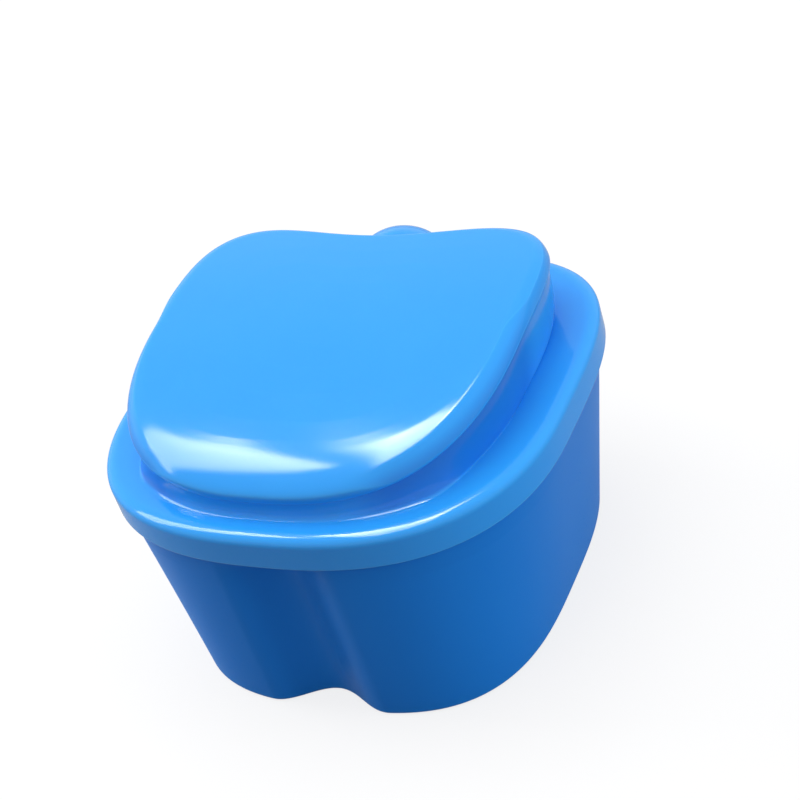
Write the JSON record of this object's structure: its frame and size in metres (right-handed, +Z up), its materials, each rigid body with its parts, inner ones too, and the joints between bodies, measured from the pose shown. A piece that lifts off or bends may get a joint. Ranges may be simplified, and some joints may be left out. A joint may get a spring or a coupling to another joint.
{
  "type": "denture case",
  "caption": "Tooth-shaped denture soaking case: a grooved cup, a hinged lid with a raised sloping top plate, and a lift-out strainer basket with a swinging bail.",
  "frame": {"origin": "on the standing surface, in the middle of the closed case's width and depth", "axes": "+Z up, -Y towards the front where the groove is, +Y towards the hinge, X across; the X = 0 plane is the plane of symmetry"},
  "size_m": [0.104, 0.1048, 0.07],
  "materials": {
    "blue_plastic": "glossy moulded",
    "white_plastic": "satin moulded",
    "pin_steel": "drawn"
  },
  "bodies": {
    "cup": {"cup": "blue_plastic", "hinge_pin": "pin_steel"},
    "lid": {"lid": "blue_plastic"},
    "basket": {"strainer_basket": "white_plastic"},
    "bail": {"basket_handle": "white_plastic"}
  },
  "joints": [
    {"name": "lid_hinge", "type": "hinge", "parent": "cup", "child": "lid", "pos_m": [0, 0.04918, 0.0447], "axis": [-1, 0, 0], "range_deg": [0, 150]},
    {"name": "basket_lift", "type": "slide", "parent": "cup", "child": "basket", "axis": [0, 0, 1], "range_m": [0, 0.0498]},
    {"name": "bail_swing", "type": "hinge", "parent": "basket", "child": "bail", "pos_m": [0, -0.00702, 0.0465], "axis": [-1, 0, 0], "range_deg": [0, 90]}
  ],
  "couplings": [
    {"joint": "basket_lift", "follows": "lid_hinge", "m_per_rad": 0.019},
    {"joint": "bail_swing", "follows": "lid_hinge", "ratio": 0.6}
  ]
}
